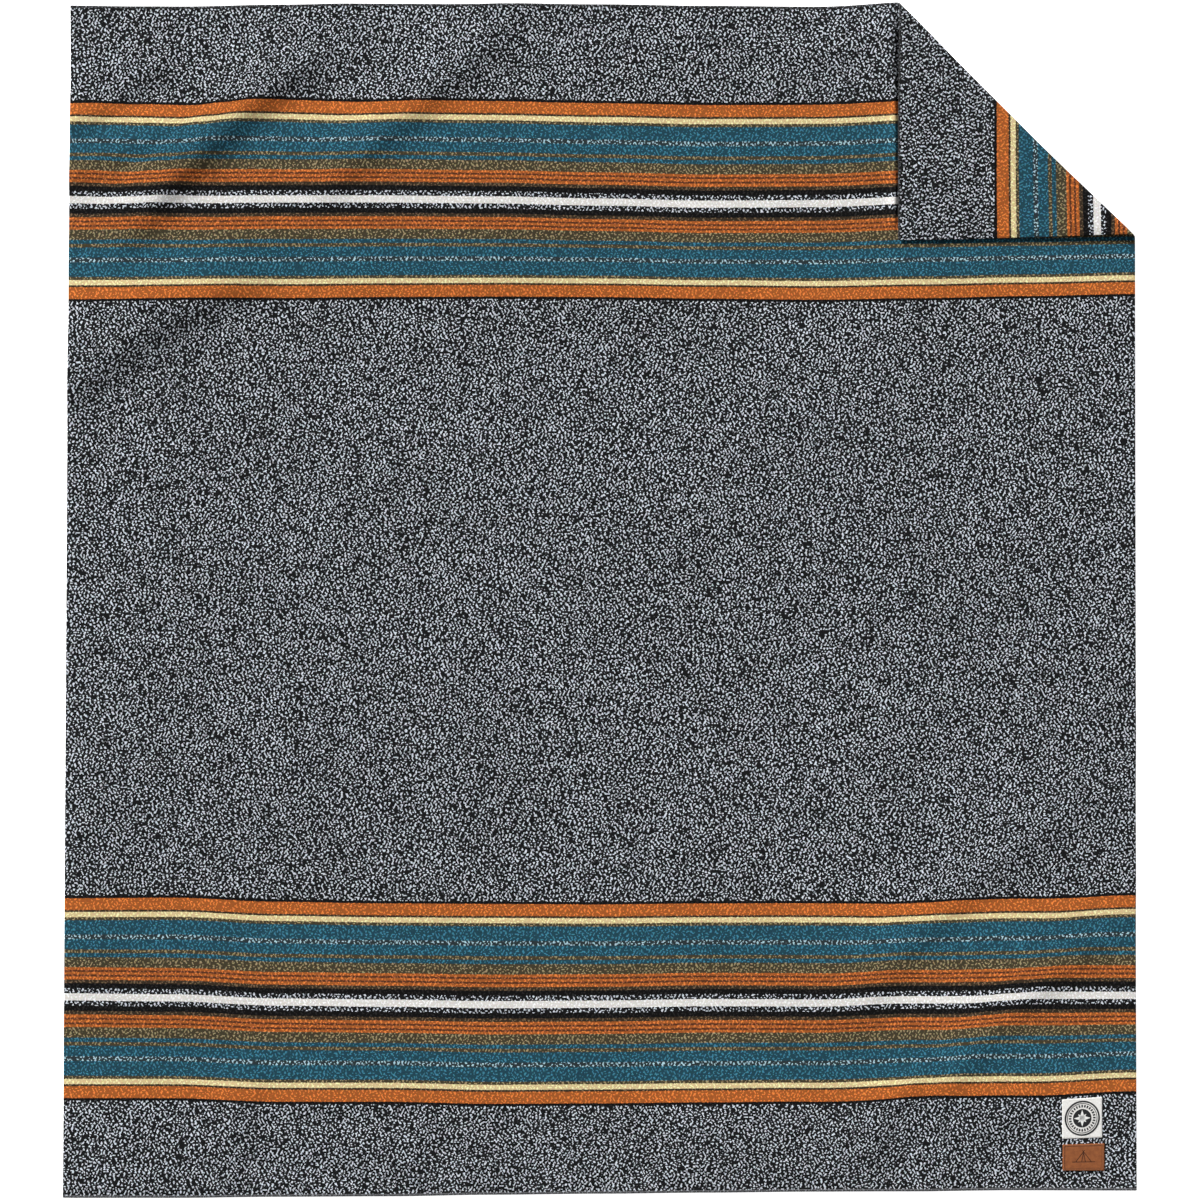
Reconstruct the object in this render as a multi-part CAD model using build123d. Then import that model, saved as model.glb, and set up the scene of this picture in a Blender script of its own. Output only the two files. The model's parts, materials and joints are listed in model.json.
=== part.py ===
"""Camp blanket: woven wool, laid flat with its label side up and one head corner turned back.

Origin on the floor under the centre of the blanket. +X runs to the right selvedge, +Y to the
head end, +Z up. The cloth folds in thirds: the foot third over the middle, then the head third
over both. The turned-back corner unfolds about a line at 45 degrees. All sizes in millimetres.
"""

from build123d import *
import os
from math import pi, sqrt

# Cloth
WIDTH = 2045.0  # selvedge to selvedge
LENGTH = 2275.0  # head end to foot end, over the edge stitching
THICKNESS = 3.0  # fulled wool

# Stripe bands. Each band is the same on both sides of a white line at its centre.
HEAD_MARGIN = 184.0  # head end to the head band
FOOT_MARGIN = 180.0  # foot end to the foot band
WHITE_LINE = 12.5
HALF_BAND = [  # weft colour and width of each run, from a band's outer line to its white line
    ("black", 5.0),
    ("orange", 22.0),
    ("brown", 4.5),
    ("cream", 9.0),
    ("olive", 6.0),
    ("teal", 28.0),
    ("grey", 8.5),
    ("teal", 19.0),
    ("olive", 7.5),
    ("teal", 7.5),
    ("olive", 19.5),
    ("orange", 5.0),
    ("rust", 3.5),
    ("orange", 5.0),
    ("rust", 4.5),
    ("orange", 5.5),
    ("brown", 7.0),
    ("black", 10.0),
    ("grey", 9.5),
]

# Folds
FOLD_Y = LENGTH / 6  # the two fold lines across the blanket, at plus and minus this
CORNER_LEG = 454.0  # cloth corner to the end of the turned-back fold, along either edge
ROLL_RADIUS = 3.0  # middle of the cloth where it bends round the turned-back fold

# Overlock stitching along the head and foot ends, flush with a thinned lip of the cloth
STITCH_DEPTH = 4.0
STITCH_THREAD = 0.5

# Labels, one above the other in the foot margin
LABEL_SIZE = 76.0  # square woven label
LABEL_THICKNESS = 0.8
LABEL_X = 919.0  # middle of the label
LABEL_BELOW_BAND = 5.0
PATCH_WIDTH = 79.5
PATCH_HEIGHT = 51.0
PATCH_THICKNESS = 1.6
PATCH_X = 921.5
PATCH_BELOW_LABEL = 11.0
SEWING_THREAD = 0.6  # thickness of the thread that holds the labels
SEWING_INSET = 2.5

# Worked out from the above
HALF_WIDTH = WIDTH / 2
HALF_LENGTH = LENGTH / 2
BAND_WIDTH = WHITE_LINE + 2 * sum(width for _, width in HALF_BAND)
HEAD_BAND_Y = HALF_LENGTH - HEAD_MARGIN - BAND_WIDTH / 2
FOOT_BAND_Y = -HALF_LENGTH + FOOT_MARGIN + BAND_WIDTH / 2
FLAP_LIFT = 2 * ROLL_RADIUS  # height of the flap above the cloth it lies on
ROLL_LENGTH = pi * ROLL_RADIUS  # cloth taken up by the bend
ROLL_OUTER = ROLL_RADIUS + THICKNESS / 2
CORNER_TO_BEND = CORNER_LEG / sqrt(2) + ROLL_OUTER  # cloth corner to where the bend starts
HINGE_HEIGHT = ROLL_RADIUS + THICKNESS / 2


def slab(x_low, x_high, y_low, y_high, z_low=0.0, z_high=THICKNESS):
    """A box between the given limits."""
    size = (x_high - x_low, y_high - y_low, z_high - z_low)
    centre = ((x_low + x_high) / 2, (y_low + y_high) / 2, (z_low + z_high) / 2)
    return Pos(*centre) * Box(*size)


def prism(points):
    """The cloth's thickness over an outline given as corner points."""
    return extrude(make_face(Polyline(*points, close=True)), THICKNESS)


# ---- the blanket's parts in plan, with the corner laid flat


def middle_plan():
    return slab(-HALF_WIDTH, HALF_WIDTH, -FOLD_Y, FOLD_Y)


def foot_plan():
    return slab(-HALF_WIDTH, HALF_WIDTH, -HALF_LENGTH, -FOLD_Y)


def head_plan():
    """The head third, without the corner that turns back."""
    cut = CORNER_TO_BEND * sqrt(2)
    return prism(
        [
            (-HALF_WIDTH, FOLD_Y),
            (HALF_WIDTH, FOLD_Y),
            (HALF_WIDTH, HALF_LENGTH - cut),
            (HALF_WIDTH - cut, HALF_LENGTH),
            (-HALF_WIDTH, HALF_LENGTH),
        ]
    )


def corner_plan():
    """The triangle of cloth beyond the bend."""
    leg = (CORNER_TO_BEND - ROLL_LENGTH) * sqrt(2)
    return prism(
        [
            (HALF_WIDTH, HALF_LENGTH),
            (HALF_WIDTH - leg, HALF_LENGTH),
            (HALF_WIDTH, HALF_LENGTH - leg),
        ]
    )


# ---- weft runs and stitching over the whole width, to be cut to each part's plan


def band_runs(centre):
    """Colour, lowest Y and highest Y of every weft run in the band about the line Y = centre."""
    runs = [("white", centre - WHITE_LINE / 2, centre + WHITE_LINE / 2)]
    outer = BAND_WIDTH / 2
    for colour, width in HALF_BAND:
        inner = outer - width
        runs.append((colour, centre + inner, centre + outer))
        runs.append((colour, centre - outer, centre - inner))
        outer = inner
    return runs


def overlock(end):
    """Thread over the cloth's lip at the head (end = 1) or foot (end = -1): a channel in section."""
    outside = end * HALF_LENGTH
    inside = end * (HALF_LENGTH - STITCH_DEPTH)
    lip_end = end * (HALF_LENGTH - STITCH_THREAD)
    whole = slab(-HALF_WIDTH, HALF_WIDTH, *sorted((inside, outside)))
    lip_low = STITCH_THREAD
    lip_high = THICKNESS - STITCH_THREAD
    lip = slab(-HALF_WIDTH, HALF_WIDTH, *sorted((inside, lip_end)), lip_low, lip_high)
    return whole - lip


def striped_pieces(prefix, plan, band_centre, stitching):
    """Every weft colour of one third of the cloth, its plain field and its edge stitching."""
    pieces = {}
    for colour, low, high in band_runs(band_centre):
        run = plan & slab(-HALF_WIDTH, HALF_WIDTH, low, high)
        pieces.setdefault(f"{prefix}_{colour}_weft", []).extend(run.solids())
    band_low = band_centre - BAND_WIDTH / 2
    band_high = band_centre + BAND_WIDTH / 2
    band = slab(-HALF_WIDTH, HALF_WIDTH, band_low, band_high)
    pieces[f"{prefix}_field"] = (plan - band - stitching).solids()
    pieces[f"{prefix}_edge_stitch"] = (plan & stitching).solids()
    return pieces


# ---- the turned-back corner


def hinge_axis():
    """Where the corner turns: above the middle of the bend's cloth, at the bend's half height."""
    inset = (CORNER_TO_BEND - ROLL_LENGTH / 2) / sqrt(2)
    point = (HALF_WIDTH - inset, HALF_LENGTH - inset, HINGE_HEIGHT)
    return Axis(point, (-1, 1, 0))


def turned_back(solids):
    """Solids of the flat corner, turned over onto the cloth."""
    return [solid.rotate(hinge_axis(), 180) for solid in solids]


def corner_roll():
    """The bend itself: half a ring in section, narrowing with the flap that it carries."""
    inset = CORNER_TO_BEND / sqrt(2)
    origin = (HALF_WIDTH - inset, HALF_LENGTH - inset, HINGE_HEIGHT)
    across = Plane(origin=origin, x_dir=(1, 1, 0), z_dir=(1, -1, 0))
    outer = Circle(ROLL_OUTER)
    inner = Circle(ROLL_RADIUS - THICKNESS / 2)
    outward_half = Pos(ROLL_OUTER, 0) * Rectangle(2 * ROLL_OUTER, 4 * ROLL_OUTER)
    ring = extrude(across * ((outer - inner) & outward_half), CORNER_TO_BEND, both=True)
    low_end = CORNER_TO_BEND
    high_end = CORNER_TO_BEND - ROLL_LENGTH
    top = FLAP_LIFT + THICKNESS
    along = Plane(origin=(origin[0], origin[1], 0), x_dir=(1, -1, 0), z_dir=(-1, -1, 0))
    outline = Polyline((-low_end, 0), (low_end, 0), (high_end, top), (-high_end, top), close=True)
    ends = extrude(along * make_face(outline), 2 * ROLL_OUTER, both=True)
    inside_edges = slab(-HALF_WIDTH, HALF_WIDTH, 0, HALF_LENGTH, 0, top)
    return (ring & ends & inside_edges).solids()


# ---- labels


def sewn_ring(x, y, width, height, z_low):
    """A line of thread just inside the edge of a label."""
    outer_x = width / 2 - SEWING_INSET
    outer_y = height / 2 - SEWING_INSET
    inner_x = outer_x - SEWING_THREAD
    inner_y = outer_y - SEWING_THREAD
    z_high = z_low + SEWING_THREAD
    outer = slab(x - outer_x, x + outer_x, y - outer_y, y + outer_y, z_low, z_high)
    inner = slab(x - inner_x, x + inner_x, y - inner_y, y + inner_y, z_low, z_high)
    return outer - inner


def label(prefix, stitching, x, top_y, width, height, thickness):
    """A sewn label: the label on the cloth, and the thread on the label."""
    y = top_y - height / 2
    surface = THICKNESS + thickness
    body = slab(x - width / 2, x + width / 2, y - height / 2, y + height / 2, THICKNESS, surface)
    thread = sewn_ring(x, y, width, height, surface)
    return {prefix: body.solids(), stitching: thread.solids()}


def labels():
    label_top = FOOT_BAND_Y - BAND_WIDTH / 2 - LABEL_BELOW_BAND
    patch_top = label_top - LABEL_SIZE - PATCH_BELOW_LABEL
    woven = (LABEL_X, label_top, LABEL_SIZE, LABEL_SIZE, LABEL_THICKNESS)
    leather = (PATCH_X, patch_top, PATCH_WIDTH, PATCH_HEIGHT, PATCH_THICKNESS)
    pieces = label("woven_label", "label_stitching", *woven)
    pieces.update(label("leather_patch", "patch_stitching", *leather))
    return pieces


def blanket():
    """Every node's name and its solids."""
    pieces = {"middle_field": middle_plan().solids(), "corner_roll": corner_roll()}
    pieces.update(striped_pieces("head", head_plan(), HEAD_BAND_Y, overlock(1)))
    pieces.update(striped_pieces("foot", foot_plan(), FOOT_BAND_Y, overlock(-1)))
    flat_corner = striped_pieces("corner", corner_plan(), HEAD_BAND_Y, overlock(1))
    pieces.update({name: turned_back(solids) for name, solids in flat_corner.items()})
    pieces.update(labels())
    return pieces


os.makedirs("parts", exist_ok=True)
for name, solids in blanket().items():
    export_step(Compound(children=list(solids)), f"parts/{name}.step")
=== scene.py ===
"""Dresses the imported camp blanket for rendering.

The cloth and everything sewn to it are first laid out flat: u runs across the blanket and v along
it, in metres from its centre, with a height above the middle of the cloth's thickness. lay() then
turns the corner back and adds the wrinkles of a blanket spread out by hand.
"""

import json
import math

import bmesh
import bpy
import numpy as np
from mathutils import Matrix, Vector


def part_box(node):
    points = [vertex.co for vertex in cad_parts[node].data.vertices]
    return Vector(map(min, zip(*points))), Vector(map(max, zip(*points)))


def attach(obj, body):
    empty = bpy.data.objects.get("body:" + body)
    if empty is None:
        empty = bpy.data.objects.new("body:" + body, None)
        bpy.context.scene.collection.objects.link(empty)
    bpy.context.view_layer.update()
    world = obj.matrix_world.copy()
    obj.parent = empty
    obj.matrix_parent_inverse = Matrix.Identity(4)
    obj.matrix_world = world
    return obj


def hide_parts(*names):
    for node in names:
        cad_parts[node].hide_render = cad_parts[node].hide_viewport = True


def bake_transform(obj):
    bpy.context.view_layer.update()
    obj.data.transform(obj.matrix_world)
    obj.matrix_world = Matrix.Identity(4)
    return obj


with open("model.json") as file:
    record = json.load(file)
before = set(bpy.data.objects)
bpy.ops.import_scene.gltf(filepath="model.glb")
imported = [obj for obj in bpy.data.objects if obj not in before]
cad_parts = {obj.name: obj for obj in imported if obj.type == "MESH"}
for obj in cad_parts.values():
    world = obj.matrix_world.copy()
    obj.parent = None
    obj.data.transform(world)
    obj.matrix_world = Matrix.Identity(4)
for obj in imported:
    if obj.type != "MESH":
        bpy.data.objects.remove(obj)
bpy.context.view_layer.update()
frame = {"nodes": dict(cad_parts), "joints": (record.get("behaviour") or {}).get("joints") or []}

MM = 0.001
DIAGONAL = 1 / math.sqrt(2)
COLOURS = ("white", "grey", "black", "brown", "orange", "rust", "olive", "teal", "cream")

# ---- sizes, all from the frame


def middle_of(node):
    """The middle of a CAD node's box."""
    low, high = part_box(node)
    return (low + high) / 2


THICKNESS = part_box("middle_field")[1].z
HALF_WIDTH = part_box("middle_field")[1].x
HALF_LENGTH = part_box("head_edge_stitch")[1].y
HEAD_BAND = middle_of("head_white_weft").y
FOOT_BAND = middle_of("foot_white_weft").y
JOINTS = {joint["name"]: joint for joint in frame["joints"]}
CORNER_HINGE = Vector(JOINTS["corner_turn"]["pos_m"])
ROLL_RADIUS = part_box("corner_field")[0].z / 2  # the flap lies two radii above the cloth under it
BEND_TO_CORNER = (
    (Vector((HALF_WIDTH, HALF_LENGTH)) - CORNER_HINGE.xy).length + math.pi * ROLL_RADIUS / 2
)

# ---- how the blanket lies

# Wrinkles: start, a point on the way and end of the crest, all in mm, then the crest's height and
# width and how far the cloth on its two sides is drawn together, in mm.
WRINKLES = [
    ((-425, 1130), (-735, 888), (-990, 590), 11.0, 22, 24),
    ((-85, 1175), (-350, 948), (-610, 715), 6.5, 20, 10),
    ((-800, 1060), (-930, 978), (-1150, 820), 5.5, 18, 8),
    ((-800, 930), (-925, 865), (-1130, 730), 4.5, 18, 8),
    ((-600, 630), (-850, 530), (-1160, 290), 10.0, 27, 6),
    ((640, 1135), (455, 1052), (280, 975), 2.8, 16, 3),
    ((1160, -290), (700, -552), (425, -905), 3.7, 20, 12),
    ((1080, -545), (765, -822), (480, -1150), 3.7, 19, 14),
    ((640, -870), (548, -985), (440, -1190), 2.9, 16, 6),
    ((800, -945), (718, -1036), (610, -1190), 2.8, 16, 6),
    ((-655, -850), (-688, -1010), (-735, -1190), 3.0, 18, 3),
    ((-880, -930), (-915, -1030), (-960, -1180), 1.6, 18, 1),
    ((-880, 274), (-750, 284), (-620, 268), 1.2, 12, 0),
    ((-1020, 94), (-870, 102), (-740, 94), 1.1, 12, 0),
    ((551, 1300), (549, 1120), (546, 900), 4.5, 8, 0),
]
LIT_SIDE_SPREAD = 3.3  # widths that a wrinkle's upper left flank spreads over, and its other one
SHADE_SIDE_SPREAD = 1.15
WRINKLE_FADE = 0.35  # share of a wrinkle's length over which it rises at each end
DRAWN_OFFSET = 1.8  # widths from the crest to the line towards which the cloth is drawn
DRAWN_CORE = 1.5  # widths beside that line over which the drawing in grows to its full size
DRAWN_REACH = 0.10  # metres from that line over which it then dies away
WRINKLE_CUT_OFF = 3  # times DRAWN_REACH: a wrinkle does nothing further away
CREST_BATCH = 20000  # places measured at once

# Sway of the weft: on each of these lines across the blanket, how far it is shifted towards the
# head, in mm, at evenly spaced places from the left selvedge to the right one.
SWAY = [
    (HALF_LENGTH, [-1, -3, 2, 2, 2, 0, -3, -4, 5, 4, 4]),
    (HEAD_BAND, [4, 1, 4, 4, 3, -1, -5, -4, 3, 5, 8]),
    (0.568, [3, 3, 4, 6, 7, 6, 3, 1, 4, 8, 12]),
    (0.0, [0] * 11),
    (-0.572, [5, 6, -2, -5, -6, -7, -5, -4, -3, 4, 10]),
    (FOOT_BAND, [5, 3, -5, -7, -10, -9, -6, -6, 0, 5, 7]),
    (-0.957, [0, 0, -7, -7, -11, -10, -8, -6, 3, 4, 13]),
    (-HALF_LENGTH, [-6, -6, -4, -3, 0, 2, 4, 6, 6, 8, 8]),
]
SIDE_SWAY_LEFT = 6.8 * MM  # the left selvedge leans in at the head end and out at the foot end
SIDE_SWAY_RIGHT = 2.0 * MM
ROLLING = 0.9 * MM  # soft unevenness all over the cloth
RIPPLE_SHORTEST = 0.14  # metres: its shortest wave, and how much longer its longest one is
RIPPLE_RANGE = 0.4
FLAP_PHASE = 0.3  # turns by which the waves on the turned-back corner differ from those below it
ROLL_OPEN_RIGHT = 2.1 * MM  # how far the bend opens towards its right end
ROLL_OPEN_TOP = 1.0 * MM  # and how far towards its upper end
OPEN_RIGHT_FROM = 0.15  # where the opening starts, from the bend's middle (0) to its end (1)
OPEN_TOP_FROM = 0.4
FLAP_SETTLE = 190 * MM  # distance from the bend over which the flap comes down
EDGE_SQUEEZE = 0.35  # share of the thickness lost at the pressed and stitched edges
SQUEEZE_REACH = 14 * MM
BULGE = 3.4 * MM  # rise of the cloth that the flap's edge presses up beside it
BULGE_AWAY = 7.0 * MM  # its crest's distance from the flap, and its spread on the two sides of it
BULGE_SPREAD_OUT = 9.0 * MM
BULGE_SPREAD_IN = 2.7 * MM
BULGE_FADE = 70 * MM
CALM_BESIDE_BEND = 50 * MM  # the cloth has no wrinkles this near the bend


def smooth(t):
    """0 below 0, 1 above 1, and an S-curve between."""
    t = np.clip(t, 0, 1)
    return t * t * (3 - 2 * t)


def curve_through(start, way, end, count=140):
    """The parabola through three places that are given in mm.

    Its points in metres, its normals towards the upper left, and each point's share of the way.
    """
    start, way, end = (np.array(place) * MM for place in (start, way, end))
    pull = 2 * way - (start + end) / 2
    t = np.linspace(0, 1, count)[:, None]
    points = (1 - t) ** 2 * start + 2 * t * (1 - t) * pull + t**2 * end
    along = 2 * (1 - t) * (pull - start) + 2 * t * (end - pull)
    along /= np.linalg.norm(along, axis=1)[:, None]
    normals = np.stack((-along[:, 1], along[:, 0]), axis=1)
    upward = np.sign(normals[:, 1:2] - normals[:, 0:1])
    return points, normals * upward, t[:, 0]


WRINKLE_CURVES = [curve_through(*wrinkle[:3]) for wrinkle in WRINKLES]


def wrinkle(index, x, y):
    """Rise and sideways shift of one wrinkle at places (x, y)."""
    height, width, drawn = (value * MM for value in WRINKLES[index][3:])
    points, normals, t = WRINKLE_CURVES[index]
    rise = np.zeros_like(x)
    shift = np.zeros((len(x), 2))
    reach = WRINKLE_CUT_OFF * DRAWN_REACH
    near = (x > points[:, 0].min() - reach) & (x < points[:, 0].max() + reach)
    near &= (y > points[:, 1].min() - reach) & (y < points[:, 1].max() + reach)
    places = np.stack((x[near], y[near]), axis=1)
    if not len(places):
        return rise, shift
    closest = np.empty(len(places), int)
    for first in range(0, len(places), CREST_BATCH):
        some = places[first : first + CREST_BATCH]
        gaps = (some[:, None, 0] - points[None, :, 0]) ** 2
        gaps += (some[:, None, 1] - points[None, :, 1]) ** 2
        closest[first : first + CREST_BATCH] = gaps.argmin(1)
    away = ((places - points[closest]) * normals[closest]).sum(1)
    fade = smooth(t[closest] / WRINKLE_FADE) * smooth((1 - t[closest]) / WRINKLE_FADE)
    spread = width * np.where(away > 0, LIT_SIDE_SPREAD, SHADE_SIDE_SPREAD)
    rise[near] = height * fade * np.exp(-((away / spread) ** 2) / 2)
    away = away - DRAWN_OFFSET * width
    draw = (1 - np.exp(-((away / width / DRAWN_CORE) ** 2))) * np.exp(-np.abs(away) / DRAWN_REACH)
    draw *= -np.sign(away) * drawn / 2 * fade
    shift[near] = draw[:, None] * normals[closest]
    return rise, shift


def thinning(u, v):
    """Share of the cloth's thickness lost near its four finished edges."""
    edge = np.minimum(HALF_WIDTH - np.abs(u), HALF_LENGTH - np.abs(v))
    return EDGE_SQUEEZE * (1 - smooth(edge / SQUEEZE_REACH))


def bulge(x, y):
    """Rise of the cloth beside the flap's left edge."""
    flap_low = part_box("corner_edge_stitch")[0]
    past_crest = x - (flap_low.x - BULGE_AWAY)
    spread = np.where(past_crest > 0, BULGE_SPREAD_IN, BULGE_SPREAD_OUT)
    return BULGE * smooth((y - flap_low.y) / BULGE_FADE) * np.exp(-((past_crest / spread) ** 2) / 2)


RIPPLE_WAVES = np.random.default_rng(7).uniform(0, 1, (9, 3))


def ripples(x, y, phase=0.0):
    """Low uneven waves, from 0 to 1."""
    total = np.zeros_like(x)
    for turn, length, start in RIPPLE_WAVES:
        angle = turn * math.pi
        wavelength = RIPPLE_SHORTEST + RIPPLE_RANGE * length
        along = x * math.cos(angle) + y * math.sin(angle)
        total += np.sin(2 * math.pi * (along / wavelength + start + phase))
    return 0.5 + 0.5 * total / len(RIPPLE_WAVES)


def sway(x, y):
    """Shift of the cloth along v, smoothly between the lines given in SWAY."""
    lines = [line for line, values in SWAY]
    rows = []
    for line, values in SWAY:
        place = (np.clip(x / HALF_WIDTH, -1, 1) + 1) / 2 * (len(values) - 1)
        step = np.minimum(place.astype(int), len(values) - 2)
        table = np.array(values) * MM
        rows.append(table[step] + (table[step + 1] - table[step]) * smooth(place - step))
    shift = np.zeros_like(x)
    for upper in range(len(lines) - 1):
        top, bottom = lines[upper], lines[upper + 1]
        here = (y <= top) & (y >= bottom)
        t = smooth((top - y) / (top - bottom))
        shift = np.where(here, rows[upper] * (1 - t) + rows[upper + 1] * t, shift)
    shift = np.where(y > lines[0], rows[0], shift)
    return np.where(y < lines[-1], rows[-1], shift)


def beyond_bend(u, v):
    """Distance past the line where the turned-back corner starts to bend."""
    return BEND_TO_CORNER - ((HALF_WIDTH - u) + (HALF_LENGTH - v)) * DIAGONAL


def bend_radius(u, v):
    """The bend's radius, which opens out towards the bend's two ends."""
    along = ((u - v) - (HALF_WIDTH - HALF_LENGTH)) * DIAGONAL / BEND_TO_CORNER
    opening = ROLL_OPEN_RIGHT * smooth((along - OPEN_RIGHT_FROM) / (1 - OPEN_RIGHT_FROM))
    opening += ROLL_OPEN_TOP * smooth((-along - OPEN_TOP_FROM) / (1 - OPEN_TOP_FROM))
    return ROLL_RADIUS + opening


def centre_surface(u, v):
    """Where flat places (u, v) of the middle of the cloth's thickness lie in the frame."""
    s = beyond_bend(u, v)
    radius = bend_radius(u, v)
    turn = np.clip(s / radius, 0, math.pi)
    past = np.clip(s - math.pi * radius, 0, None)
    back = (radius * np.sin(turn) - past - np.clip(s, 0, None)) * DIAGONAL
    x = u + back
    y = v + back
    z = THICKNESS / 2 + radius * (1 - np.cos(turn))
    z -= 2 * (radius - ROLL_RADIUS) * smooth(past / FLAP_SETTLE)
    z -= THICKNESS / 2 * thinning(u, v) * smooth(past / SQUEEZE_REACH)

    calm = smooth(np.maximum(-s, past) / CALM_BESIDE_BEND)
    on_flap = turn >= math.pi
    rise = ROLLING * ripples(x, y, np.where(on_flap, FLAP_PHASE, 0.0))
    rise += np.where(on_flap, 0, bulge(x, y))
    shift = np.zeros((len(x), 2))
    for index in range(len(WRINKLES)):
        one_rise, one_shift = wrinkle(index, x, y)
        rise += np.where(on_flap, 0, one_rise)
        shift += one_shift
    z += calm * rise
    x_share = (x / HALF_WIDTH + 1) / 2
    lean = SIDE_SWAY_LEFT * (1 - x_share) - SIDE_SWAY_RIGHT * x_share
    x = x + shift[:, 0] + lean * y / HALF_LENGTH
    y = y + shift[:, 1] + sway(x, y)
    return np.stack((x, y, z), axis=1)


NORMAL_STEP = 0.5 * MM  # between the places that give the cloth's slope


def lay(u, v, height):
    """The frame positions of flat places (u, v) at a height above the middle of the cloth."""
    u, v, height = (np.asarray(values, float) for values in np.broadcast_arrays(u, v, height))
    centre = centre_surface(u, v)
    across = centre_surface(u + NORMAL_STEP, v) - centre
    along = centre_surface(u, v + NORMAL_STEP) - centre
    normal = np.cross(across, along)
    normal /= np.linalg.norm(normal, axis=1)[:, None]
    return centre + normal * height[:, None]


# ---- meshes


def mesh_object(name, points, faces, flat=None, smooth_faces=True):
    """A mesh object; flat holds each point's place on the flat cloth, for the materials."""
    mesh = bpy.data.meshes.new(name)
    mesh.from_pydata([tuple(point) for point in points], [], faces)
    if flat is not None:
        attribute = mesh.attributes.new("flat", "FLOAT_VECTOR", "POINT")
        attribute.data.foreach_set("vector", np.asarray(flat, np.float32).ravel())
    if smooth_faces is True:
        smooth_faces = [True] * len(faces)
    mesh.polygons.foreach_set("use_smooth", smooth_faces)
    sharpen_round_flat_faces(mesh)
    mesh.update()
    made = bpy.data.objects.new(name, mesh)
    bpy.context.scene.collection.objects.link(made)
    return made


def sharpen_round_flat_faces(mesh):
    """Marks every edge of a flat face sharp, so that it doesn't tilt the shading of its neighbours."""
    sharp = np.zeros(len(mesh.edges), bool)
    loop_edges = np.empty(len(mesh.loops), int)
    mesh.loops.foreach_get("edge_index", loop_edges)
    for face in mesh.polygons:
        if not face.use_smooth:
            sharp[loop_edges[face.loop_start : face.loop_start + face.loop_total]] = True
    mesh.edges.foreach_set("use_edge_sharp", sharp)


FINE_LINES = np.array([0, 0.3, 0.8, 1.5, 3.0]) * MM  # grid lines beside a finished cloth edge


def grid_lines(low, high, step, fine_low=False, fine_high=False):
    """Evenly spaced places from low to high, with close ones beside a finished cloth edge."""
    inner_low = low + (FINE_LINES[-1] if fine_low else 0)
    inner_high = high - (FINE_LINES[-1] if fine_high else 0)
    count = max(1, round((inner_high - inner_low) / step))
    lines = list(np.linspace(inner_low, inner_high, count + 1))
    if fine_low:
        lines = list(low + FINE_LINES[:-1]) + lines
    if fine_high:
        lines = lines + list(high - FINE_LINES[:-1][::-1])
    return lines


def flat_sheet(u_lines, v_lines, cuts=(), keep_beyond=None, keep_before=None):
    """Points and faces of a flat sheet, cut along lines at given distances past the bend."""
    sheet = bmesh.new()
    rows = [[sheet.verts.new((u, v, 0)) for u in u_lines] for v in v_lines]
    for lower, upper in zip(rows, rows[1:]):
        for a, b, c, d in zip(lower, lower[1:], upper[1:], upper):
            sheet.faces.new((a, b, c, d))
    for distance in cuts:
        inset = (BEND_TO_CORNER - distance) * DIAGONAL
        bmesh.ops.bisect_plane(
            sheet,
            geom=sheet.verts[:] + sheet.edges[:] + sheet.faces[:],
            dist=1e-6,
            plane_co=(HALF_WIDTH - inset, HALF_LENGTH - inset, 0),
            plane_no=(1, 1, 0),
            clear_outer=distance == keep_before,
            clear_inner=distance == keep_beyond,
        )
    points = np.array([vert.co[:2] for vert in sheet.verts])
    sheet.verts.index_update()
    faces = [[vert.index for vert in face.verts] for face in sheet.faces]
    rim = [
        [edge.link_loops[0].vert.index, edge.link_loops[0].link_loop_next.vert.index]
        for edge in sheet.edges
        if len(edge.link_faces) == 1
    ]
    sheet.free()
    return points, faces, rim


EDGE_ROUNDING = 1.2 * MM
THINNEST = 1e-5  # where the cloth is thinner than this on each side, its two faces meet


def half_thickness(u, v):
    """Half the cloth's thickness, which rounds off to nothing at its four finished edges."""
    edge = np.minimum(HALF_WIDTH - np.abs(u), HALF_LENGTH - np.abs(v))
    share = np.clip(edge / EDGE_ROUNDING, 0, 1)
    return THICKNESS / 2 * (1 - thinning(u, v)) * np.sqrt(1 - (1 - share) ** 2)


def cloth_piece(name, *sheet):
    """A closed piece of cloth from flat_sheet's arguments, laid in place."""
    points, faces, rim = flat_sheet(*sheet)
    u, v = points[:, 0], points[:, 1]
    half = half_thickness(u, v)
    half[half < THINNEST] = 0
    top = lay(u, v, half)
    bottom = lay(u, v, -half)
    thick = half > 0
    below = np.arange(len(u))
    below[thick] = len(u) + np.arange(thick.sum())
    all_points = np.concatenate((top, bottom[thick]))
    flat_top = np.stack((u, v, np.ones_like(u)), axis=1)
    flat_bottom = np.stack((u, v, -np.ones_like(u)), axis=1)[thick]
    walls = [
        (b, a, below[a], below[b]) if below[a] != a else (b, a, below[b])
        for a, b in rim
        if below[a] != a or below[b] != b
    ]
    walls = [tuple(dict.fromkeys(int(index) for index in wall)) for wall in walls]
    under = [[int(below[index]) for index in reversed(face)] for face in faces]
    smooth_faces = [True] * (2 * len(faces)) + [False] * len(walls)
    flat = np.concatenate((flat_top, flat_bottom))
    return mesh_object(name, all_points, faces + under + walls, flat, smooth_faces)


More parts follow.
